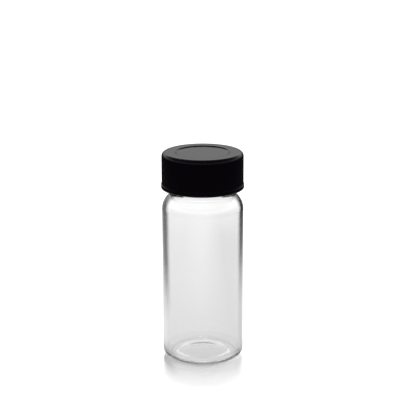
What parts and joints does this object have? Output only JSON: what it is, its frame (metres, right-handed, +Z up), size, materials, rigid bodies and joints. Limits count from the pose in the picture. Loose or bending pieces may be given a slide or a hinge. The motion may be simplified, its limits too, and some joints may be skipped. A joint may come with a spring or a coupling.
{
  "type": "glass sample vial",
  "caption": "Clear glass sample vial with a rounded shoulder, a domed base and a threaded neck, closed by a smooth black screw cap with a loose sealing liner.",
  "frame": {"origin": "centre of the foot ring, on the surface that the vial stands on", "axes": "+Z up along the vial's axis, from the base to the cap; X and Y across it"},
  "size_m": [0.028, 0.028, 0.0716],
  "materials": {
    "clear_glass": "clear, fire-polished",
    "liner_foam": "matte white foam",
    "cap_plastic": "moulded, semi-gloss black"
  },
  "bodies": {
    "vial": {"glass_vial": "clear_glass"},
    "liner": {"cap_liner": "liner_foam"},
    "cap": {"screw_cap": "cap_plastic"}
  },
  "joints": [
    {"name": "cap_rise", "type": "slide", "parent": "vial", "child": "liner", "axis": [0, 0, 1], "range_m": [0, 0.01271]},
    {"name": "cap_turn", "type": "hinge", "parent": "liner", "child": "cap", "pos_m": [0, 0, 0.0654], "axis": [0, 0, 1], "range_deg": [0, 1440]}
  ],
  "couplings": [
    {"joint": "cap_rise", "follows": "cap_turn", "m_per_rad": 0.00050532}
  ]
}
